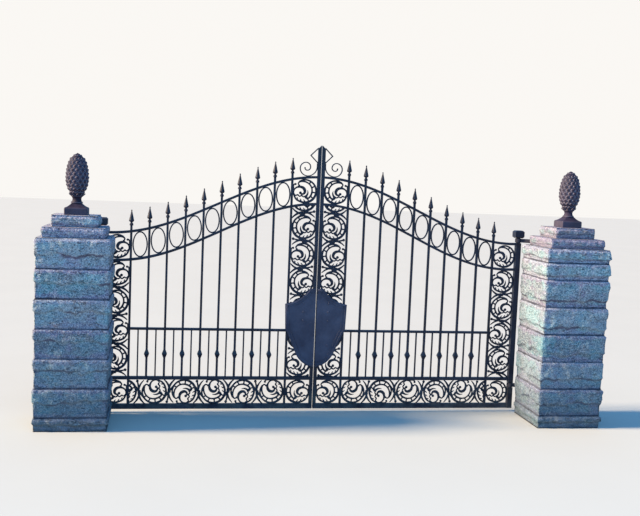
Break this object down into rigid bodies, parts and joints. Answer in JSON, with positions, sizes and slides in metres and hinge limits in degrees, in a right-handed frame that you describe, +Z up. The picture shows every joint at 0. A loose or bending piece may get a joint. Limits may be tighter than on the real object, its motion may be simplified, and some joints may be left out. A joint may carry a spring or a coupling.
{
  "type": "driveway gate",
  "caption": "Wrought iron double driveway gate with an ogee top, cast scroll panels and a plain shield, hung behind rock-faced stone piers with pineapple finials.",
  "frame": {"origin": "middle of the footprint on the ground; the gate's plane is parallel to XZ at y = 0.2955 m", "axes": "+X along the gate to the viewer's right, +Y to the drive side behind the gate, +Z up"},
  "size_m": [5.064, 0.679, 2.5],
  "materials": {
    "gate_iron": "semi-gloss black paint, weathered",
    "cast_scrollwork": "painted castings",
    "plaque_iron": "satin black paint",
    "hinge_iron": "painted, worn at the bearing",
    "pier_stone": "rock-faced, weathered blue-grey",
    "finial_iron": "dark brown, dull"
  },
  "bodies": {
    "piers": {"left_pier_shaft": "pier_stone", "left_pier_lower_cap": "pier_stone", "left_pier_upper_cap": "pier_stone", "left_finial_base": "finial_iron", "left_pineapple": "finial_iron", "left_upper_hinge": "hinge_iron", "left_lower_hinge": "hinge_iron", "right_pier_shaft": "pier_stone", "right_pier_lower_cap": "pier_stone", "right_pier_upper_cap": "pier_stone", "right_finial_base": "finial_iron", "right_pineapple": "finial_iron", "right_upper_hinge": "hinge_iron", "right_lower_hinge": "hinge_iron"},
    "left_leaf": {"left_heel_stile": "gate_iron", "left_meeting_stile": "gate_iron", "left_bottom_rail": "gate_iron", "left_lower_rail": "gate_iron", "left_mid_rail": "gate_iron", "left_lower_arch": "gate_iron", "left_upper_arch": "gate_iron", "left_pickets": "gate_iron", "left_dog_bars": "gate_iron", "left_ovals": "gate_iron", "left_outer_scrolls": "cast_scrollwork", "left_inner_scrolls": "cast_scrollwork", "left_bottom_scrolls": "cast_scrollwork", "left_crest_scroll": "gate_iron", "left_shield": "plaque_iron"},
    "right_leaf": {"right_heel_stile": "gate_iron", "right_meeting_stile": "gate_iron", "right_bottom_rail": "gate_iron", "right_lower_rail": "gate_iron", "right_mid_rail": "gate_iron", "right_lower_arch": "gate_iron", "right_upper_arch": "gate_iron", "right_pickets": "gate_iron", "right_dog_bars": "gate_iron", "right_ovals": "gate_iron", "right_outer_scrolls": "cast_scrollwork", "right_inner_scrolls": "cast_scrollwork", "right_bottom_scrolls": "cast_scrollwork", "right_crest_scroll": "gate_iron", "right_shield": "plaque_iron"}
  },
  "joints": [
    {"name": "left_leaf_swing", "type": "hinge", "parent": "piers", "child": "left_leaf", "pos_m": [-2.029, 0.2955, 0.26], "axis": [0, 0, 1], "range_deg": [0, 90]},
    {"name": "right_leaf_swing", "type": "hinge", "parent": "piers", "child": "right_leaf", "pos_m": [1.885, 0.2955, 0.26], "axis": [0, 0, -1], "range_deg": [0, 90]}
  ]
}
